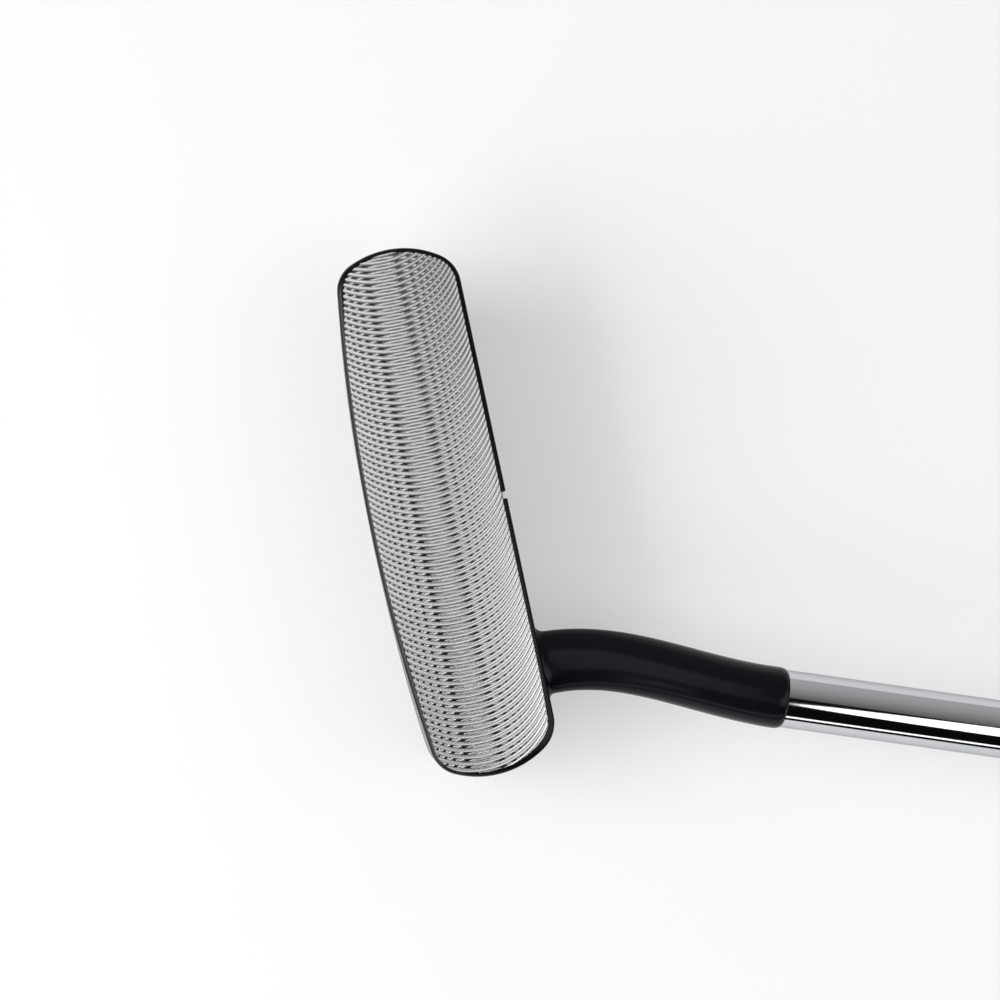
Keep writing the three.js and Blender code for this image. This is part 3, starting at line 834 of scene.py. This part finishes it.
def back_point(at, aside, inset):
    """A point over the back seam: distance along, distance aside, depth under the surface."""
    half, _, back = grip_size(at)
    deep = back * (1 - abs(aside / half) ** BACK_FLATNESS) ** (1 / BACK_FLATNESS)
    front, width = axes_about(AXIS_DIR)
    return on_axis(at) - front * (deep - inset) + width * aside


def thread_tube(path, points, faces):
    """Adds a round thread along a path, closed at both ends."""
    sides = 8
    start = len(points)
    for i, p in enumerate(path):
        way = (path[min(i + 1, len(path) - 1)] - path[max(i - 1, 0)]).normalized()
        across = way.cross(axes_about(AXIS_DIR)[0]).normalized()
        over = across.cross(way)
        for k in range(sides):
            angle = 2 * math.pi * k / sides
            points.append(p + (across * math.cos(angle) + over * math.sin(angle)) * THREAD_RADIUS)
    for i in range(len(path) - 1):
        for k in range(sides):
            a = start + i * sides + k
            b = start + i * sides + (k + 1) % sides
            faces.append((a, b, b + sides, a + sides))
    faces.append(tuple(range(start, start + sides))[::-1])
    last = start + (len(path) - 1) * sides
    faces.append(tuple(range(last, last + sides)))


def make_stitches():
    """Crossed stitches that lace the back seam from the collar to the cap."""
    points, faces = [], []
    count = int((SLEEVE_TO - SLEEVE_FROM - 2 * STITCH_MARGIN) / STITCH_PITCH)
    for k in range(count):
        start = SLEEVE_FROM + STITCH_MARGIN + k * STITCH_PITCH
        for hand in (1, -1):
            path = []
            for i in range(9):
                f = i / 8
                aside = hand * STITCH_REACH * (2 * f - 1)
                depth = STITCH_SINK * (2 * f - 1) ** 4 + STITCH_INSET
                if hand < 0:
                    depth += STITCH_OVERLAP
                path.append(back_point(start + f * STITCH_PITCH * STITCH_SPAN, aside, depth))
            thread_tube(path, points, faces)
    obj = outward(mesh_object("seam_stitches", points, faces))
    return finish_piece(obj, "leather")


def make_collar():
    """The moulded ring at the grip's mouth, with one fine groove round it."""
    inside = SHAFT_BUTT + FIT
    long, deep = COLLAR_NOSE
    profile = []
    for i in range(9):
        angle = math.pi / 2 * i / 8
        profile.append((long * (1 - math.cos(angle)), deep * (1 - math.sin(angle))))
    profile += COLLAR_GROOVE
    profile += [(COLLAR_LENGTH - COLLAR_CHAMFER, 0.0), (COLLAR_LENGTH, COLLAR_CHAMFER)]
    rings = [grip_ring(MOUTH_AT + along, inset) for along, inset in profile]
    rings.append(grip_circle(MOUTH_AT + COLLAR_LENGTH, inside))
    rings.append(grip_circle(MOUTH_AT + COLLAR_LEAD_IN, inside))
    rings.append(grip_circle(MOUTH_AT, inside + COLLAR_LEAD_IN))
    obj = outward(mesh_object("collar", *skin(rings, True)))
    return finish_piece(obj, "trim", "grip_collar")


def make_cap():
    """The butt cap: turned-down rim, a groove round its face, a chamfered vent."""
    start = BUTT_AT - CAP_THICKNESS
    rings = [grip_ring(start, CAP_CHAMFER), grip_ring(start + CAP_CHAMFER, 0.0)]
    long, deep = CAP_RIM
    for i in range(11):
        angle = math.pi / 2 * i / 10
        rings.append(grip_ring(BUTT_AT - long * (1 - math.sin(angle)), deep * (1 - math.cos(angle))))
    face = CAP_GROOVE + ((VENT_RADIUS + VENT_CHAMFER, 0.0), (VENT_RADIUS, VENT_CHAMFER))
    rings += [grip_circle(BUTT_AT - sunk, radius) for radius, sunk in face]
    rings.append(grip_circle(start, VENT_RADIUS))
    obj = outward(mesh_object("butt_cap", *skin(rings, True)))
    return finish_piece(obj, "trim", "grip_cap")


def make_sight_paint():
    """A line of paint that has settled in the notch, a little thicker along its middle."""
    half = NOTCH_WIDTH / 2 - 2 * FIT
    floor = HALF_HEIGHT - NOTCH_DEPTH + FIT
    front, rear = PAINT_FRONT, 1.5 - TOPLINE_THICKNESS
    rings = []
    for f in np.linspace(0, 1, 25):
        end = min(f, 1 - f) * (front - rear)
        thin = math.sqrt(min(1.0, end / 0.5)) if end < 0.5 else 1.0
        z = front + (rear - front) * f
        one = []
        for turn in np.linspace(0, 2 * math.pi, 33)[:-1]:
            side = math.cos(turn)
            across = half * (0.6 + 0.4 * thin) * math.copysign(abs(side) ** 0.5, side)
            rise = max(0.0, math.sin(turn)) ** 0.6 * PAINT_THICKNESS * (0.15 + 0.85 * thin)
            one.append(Vector((across, floor + rise, z)))
        rings.append(one)
    obj = outward(mesh_object("sight_paint", *skin(rings, False)))
    return finish_piece(obj, "sight_paint", "sight_line_paint")


# ------------------------------------------------------------------ materials


def new_material(name):
    material = bpy.data.materials.new(name)
    material.use_nodes = True
    return material, material.node_tree.nodes, material.node_tree.links


def noise(nodes, links, vector, scale, detail=3.0, rough=0.5):
    node = nodes.new("ShaderNodeTexNoise")
    node.inputs["Scale"].default_value = scale
    node.inputs["Detail"].default_value = detail
    node.inputs["Roughness"].default_value = rough
    links.new(vector, node.inputs["Vector"])
    return node.outputs["Fac"]


def ranged(nodes, links, value, low, high, start=0.0, end=1.0):
    node = nodes.new("ShaderNodeMapRange")
    node.inputs["From Min"].default_value = start
    node.inputs["From Max"].default_value = end
    node.inputs["To Min"].default_value = low
    node.inputs["To Max"].default_value = high
    links.new(value, node.inputs["Value"])
    return node.outputs["Result"]


def bump(nodes, links, height, strength, distance):
    node = nodes.new("ShaderNodeBump")
    node.inputs["Strength"].default_value = strength
    node.inputs["Distance"].default_value = distance
    links.new(height, node.inputs["Height"])
    return node.outputs["Normal"]


def coat_material():
    """Satin black coat over blasted steel."""
    material, nodes, links = new_material("black_coat")
    shader = nodes["Principled BSDF"]
    place = nodes.new("ShaderNodeTexCoord").outputs["Object"]
    shader.inputs["Base Color"].default_value = (0.0022, 0.0024, 0.0040, 1)
    shader.inputs["IOR"].default_value = 1.22
    grain = noise(nodes, links, place, 9000, 2)
    cloud = noise(nodes, links, place, 260, 4)
    links.new(ranged(nodes, links, cloud, 0.18, 0.28), shader.inputs["Roughness"])
    links.new(bump(nodes, links, grain, 0.12, 0.00002), shader.inputs["Normal"])
    return material


def milled_material():
    """Bare steel with fine drag lines along each mark, and painted shade that darkens the crests
    between marks.
    """
    material, nodes, links = new_material("milled_steel")
    shader = nodes["Principled BSDF"]
    marks = nodes.new("ShaderNodeUVMap")
    marks.uv_map = "marks"
    stretch = nodes.new("ShaderNodeVectorMath")
    stretch.operation = "MULTIPLY"
    stretch.inputs[1].default_value = (22.0, 0.35, 1.0)
    links.new(marks.outputs["UV"], stretch.inputs[0])
    lines = noise(nodes, links, stretch.outputs["Vector"], 1.0, 3, 0.6)
    place = nodes.new("ShaderNodeTexCoord").outputs["Object"]
    cloud = noise(nodes, links, place, 180, 3)
    split = nodes.new("ShaderNodeSeparateXYZ")
    links.new(marks.outputs["UV"], split.inputs[0])
    wave = nodes.new("ShaderNodeMath")
    wave.operation = "PINGPONG"
    wave.inputs[1].default_value = CUT_PITCH / 2
    links.new(split.outputs["X"], wave.inputs[0])
    # painted shade: the base colour darkens towards each crest between marks
    crest_shade = ranged(nodes, links, wave.outputs[0], 0.0, 1.0, CREST_SHADE_START, CREST_SHADE_FULL)
    links.new(mixed(nodes, links, crest_shade, BARE_STEEL, CREST_SHADE_COLOUR), shader.inputs["Base Color"])
    shader.inputs["Metallic"].default_value = 1.0
    links.new(ranged(nodes, links, cloud, 0.17, 0.27), shader.inputs["Roughness"])
    links.new(bump(nodes, links, lines, 0.3, 0.000007), shader.inputs["Normal"])
    return material


def chrome_material():
    material, nodes, links = new_material("chrome")
    shader = nodes["Principled BSDF"]
    place = nodes.new("ShaderNodeTexCoord").outputs["Object"]
    shader.inputs["Base Color"].default_value = (0.64, 0.65, 0.67, 1)
    shader.inputs["Specular Tint"].default_value = (0.6, 0.61, 0.63, 1)
    shader.inputs["Metallic"].default_value = 1.0
    smudge = noise(nodes, links, place, 90, 5, 0.6)
    links.new(ranged(nodes, links, smudge, 0.03, 0.09), shader.inputs["Roughness"])
    grain = noise(nodes, links, place, 2500, 2)
    links.new(bump(nodes, links, grain, 0.03, 0.00001), shader.inputs["Normal"])
    return material


def cells(nodes, links, vector, scale, feature="F1"):
    node = nodes.new("ShaderNodeTexVoronoi")
    node.feature = feature
    node.inputs["Scale"].default_value = scale
    links.new(vector, node.inputs["Vector"])
    return node.outputs["Distance"]


def mixed(nodes, links, value, low, high):
    """A colour between two, by a value from 0 to 1."""
    ramp = nodes.new("ShaderNodeValToRGB")
    ramp.color_ramp.elements[0].color = (*low, 1)
    ramp.color_ramp.elements[1].color = (*high, 1)
    links.new(value, ramp.inputs["Fac"])
    return ramp.outputs["Color"]


def leather_material():
    """Black pebbled leather: creases between small pads, with a few larger folds."""
    material, nodes, links = new_material("grip_leather")
    shader = nodes["Principled BSDF"]
    place = nodes.new("ShaderNodeTexCoord").outputs["Object"]
    pads = cells(nodes, links, place, 1100, "DISTANCE_TO_EDGE")
    pad_height = ranged(nodes, links, pads, 0.0, 1.0, 0.0, 0.22)
    cloud = noise(nodes, links, place, 140, 5, 0.6)
    pores = noise(nodes, links, place, 6000, 2)
    total = nodes.new("ShaderNodeMath")
    total.operation = "MULTIPLY_ADD"
    total.inputs[1].default_value = 0.25
    links.new(pores, total.inputs[0])
    links.new(pad_height, total.inputs[2])
    dyed = mixed(nodes, links, cloud, (0.008, 0.008, 0.009), (0.022, 0.021, 0.021))
    links.new(dyed, shader.inputs["Base Color"])
    links.new(ranged(nodes, links, cloud, 0.42, 0.62, 0.3, 0.7), shader.inputs["Roughness"])
    links.new(bump(nodes, links, total.outputs[0], 0.55, 0.00012), shader.inputs["Normal"])
    return material


def thread_material():
    """Waxed charcoal thread, with its twist."""
    material, nodes, links = new_material("waxed_thread")
    shader = nodes["Principled BSDF"]
    place = nodes.new("ShaderNodeTexCoord").outputs["Object"]
    twist = nodes.new("ShaderNodeTexWave")
    twist.bands_direction = "DIAGONAL"
    twist.inputs["Scale"].default_value = 900
    twist.inputs["Distortion"].default_value = 0.6
    links.new(place, twist.inputs["Vector"])
    fuzz = noise(nodes, links, place, 3000, 3)
    waxed = mixed(nodes, links, fuzz, (0.05, 0.05, 0.052), (0.11, 0.11, 0.112))
    links.new(waxed, shader.inputs["Base Color"])
    shader.inputs["Roughness"].default_value = 0.62
    links.new(bump(nodes, links, twist.outputs["Fac"], 0.6, 0.00006), shader.inputs["Normal"])
    return material


def trim_material():
    """Moulded black rubber trim with a fine spark-eroded texture."""
    material, nodes, links = new_material("moulded_trim")
    shader = nodes["Principled BSDF"]
    place = nodes.new("ShaderNodeTexCoord").outputs["Object"]
    grain = noise(nodes, links, place, 5200, 3)
    cloud = noise(nodes, links, place, 120, 4)
    rubber = mixed(nodes, links, cloud, (0.008, 0.008, 0.009), (0.016, 0.016, 0.017))
    links.new(rubber, shader.inputs["Base Color"])
    links.new(ranged(nodes, links, cloud, 0.36, 0.5), shader.inputs["Roughness"])
    links.new(bump(nodes, links, grain, 0.3, 0.00003), shader.inputs["Normal"])
    return material


def paint_material():
    """Off-white enamel that filled the sight line by hand, a little uneven."""
    material, nodes, links = new_material("sight_enamel")
    shader = nodes["Principled BSDF"]
    place = nodes.new("ShaderNodeTexCoord").outputs["Object"]
    cloud = noise(nodes, links, place, 900, 4)
    enamel = mixed(nodes, links, cloud, (0.72, 0.72, 0.69), (0.84, 0.84, 0.81))
    links.new(enamel, shader.inputs["Base Color"])
    links.new(ranged(nodes, links, cloud, 0.28, 0.42), shader.inputs["Roughness"])
    links.new(bump(nodes, links, cloud, 0.25, 0.00004), shader.inputs["Normal"])
    return material


def hidden_material(name, low, high, roughness, grain):
    """Plain finish of a piece that is out of sight inside the club."""
    material, nodes, links = new_material(name)
    shader = nodes["Principled BSDF"]
    place = nodes.new("ShaderNodeTexCoord").outputs["Object"]
    cloud = noise(nodes, links, place, grain, 4)
    links.new(mixed(nodes, links, cloud, low, high), shader.inputs["Base Color"])
    links.new(ranged(nodes, links, cloud, roughness, roughness + 0.1), shader.inputs["Roughness"])
    links.new(bump(nodes, links, cloud, 0.3, 0.00005), shader.inputs["Normal"])
    return material


def finish_hidden_nodes():
    """Materials of the CAD pieces that stay as they are inside the hosel and the grip."""
    looks = (
        ("hosel_epoxy", "cured_epoxy", (0.52, 0.47, 0.3), (0.64, 0.59, 0.42), 0.25, 400),
        ("grip_tape", "crepe_tape", (0.62, 0.54, 0.34), (0.74, 0.66, 0.46), 0.7, 1500),
        ("grip_underlisting", "foamed_rubber", (0.014,) * 3, (0.03,) * 3, 0.8, 2200),
    )
    for node, name, low, high, roughness, grain in looks:
        material = hidden_material(name, low, high, roughness, grain)
        for material_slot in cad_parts[node].material_slots:
            material_slot.material = material


# ------------------------------------------------------------------ stage


def look_at(obj, target, up):
    back = (obj.location - target).normalized()
    right = up.cross(back).normalized()
    obj.rotation_euler = Matrix((right, back.cross(right), back)).transposed().to_euler()


def make_camera():
    """The photograph's view: nearly square to the face, rolled so that the shaft runs right."""
    eye = FACE @ CAMERA_EYE
    aim = FACE @ CAMERA_AIM
    data = bpy.data.cameras.new("camera")
    data.sensor_width = 36
    data.lens = CAMERA_LENS
    data.clip_start = 0.01
    camera = bpy.data.objects.new("camera", data)
    bpy.context.scene.collection.objects.link(camera)
    camera.location = eye
    rightward = FACE.to_3x3() @ CAMERA_RIGHT
    back = (eye - aim).normalized()
    look_at(camera, aim, back.cross(rightward))
    bpy.context.scene.camera = camera


def stage_sheet(name, points, faces, look):
    """A matt sheet of the set, with a little light of its own that lifts its shadows."""
    mesh = bpy.data.meshes.new(name)
    mesh.from_pydata(points, [], faces)
    sheet = bpy.data.objects.new(name, mesh)
    bpy.context.scene.collection.objects.link(sheet)
    paper, colour, roughness, glow = look
    material, nodes, _ = new_material(paper)
    shader = nodes["Principled BSDF"]
    shader.inputs["Base Color"].default_value = (*colour, 1)
    shader.inputs["Roughness"].default_value = roughness
    shader.inputs["Emission Color"].default_value = (1, 1, 1, 1)
    shader.inputs["Emission Strength"].default_value = glow
    mesh.materials.append(material)
    return sheet


def make_floor():
    """A wide pale floor, and a pale wall round it that only the low views see."""
    ends = (-ROOM_REACH, ROOM_REACH)
    foot = [(ends[0], ends[0], 0), (ends[1], ends[0], 0), (ends[1], ends[1], 0), (ends[0], ends[1], 0)]
    head = [(x, y, WALL_HEIGHT) for x, y, _ in foot]
    floor = stage_sheet("floor", foot, [(0, 1, 2, 3)], FLOOR_LOOK)
    floor.location.z = -FLOOR_GAP
    sides = [(i, (i + 1) % 4, 4 + (i + 1) % 4, 4 + i) for i in range(4)]
    wall = stage_sheet("wall", foot + head, sides, WALL_LOOK)
    wall.visible_diffuse = False
    wall.visible_glossy = False
    wall.visible_transmission = False
    wall.visible_shadow = False


def softbox(name, azimuth, zenith, distance, wide, tall, radiance, shape):
    """A soft light aimed at the head; azimuth from +X towards +Y, zenith angle from straight up."""
    turn, tip = math.radians(azimuth), math.radians(zenith)
    way = Vector((math.sin(tip) * math.cos(turn), math.sin(tip) * math.sin(turn), math.cos(tip)))
    data = bpy.data.lights.new(name, "AREA")
    data.shape = shape
    data.size = wide
    data.size_y = tall
    data.energy = radiance * math.pi * wide * tall
    if shape == "ELLIPSE":
        data.energy *= math.pi / 4
    light = bpy.data.objects.new(name, data)
    bpy.context.scene.collection.objects.link(light)
    light.location = FACE.translation + way * distance
    look_at(light, FACE.translation, Vector((0, 0, 1)))
    light.visible_camera = False


def make_world():
    """Dark surroundings but for the +Y side, which is grey and lightest straight along +Y."""
    world = bpy.data.worlds.new("room")
    bpy.context.scene.world = world
    world.use_nodes = True
    nodes, links = world.node_tree.nodes, world.node_tree.links
    way = nodes.new("ShaderNodeTexCoord").outputs["Generated"]
    split = nodes.new("ShaderNodeSeparateXYZ")
    links.new(way, split.inputs[0])
    ramp = nodes.new("ShaderNodeValToRGB")
    links.new(split.outputs["Y"], ramp.inputs["Fac"])
    stops = ramp.color_ramp.elements
    stops[0].position = 0.07
    stops[0].color = (0.004, 0.004, 0.004, 1)
    stops[1].position = 1.0
    stops[1].color = (0.52, 0.52, 0.52, 1)
    edge = stops.new(0.12)
    edge.color = (0.15, 0.15, 0.15, 1)
    links.new(ramp.outputs["Color"], nodes["Background"].inputs["Color"])


def make_room():
    """Broad soft light along the shaft's direction, a window, and the strips seen in the chrome."""
    make_world()
    for numbers in SOFTBOXES:
        softbox(*numbers)


# ------------------------------------------------------------------ scene

make_camera()
bpy.context.scene.view_settings.view_transform = "Standard"

coat = coat_material()
leather = leather_material()
trim = trim_material()
pieces = (
    (make_blade_body, (coat,)),
    (make_milled_face, (coat, milled_material())),
    (make_sight_paint, (paint_material(),)),
    (make_neck, (coat,)),
    (make_weld, (coat,)),
    (make_shaft, (chrome_material(),)),
    (make_wrap, (leather,)),
    (make_stitches, (thread_material(),)),
    (make_collar, (trim,)),
    (make_cap, (trim,)),
)
for make, materials in pieces:
    piece = make()
    for material in materials:
        piece.data.materials.append(material)
finish_hidden_nodes()
make_floor()
make_room()
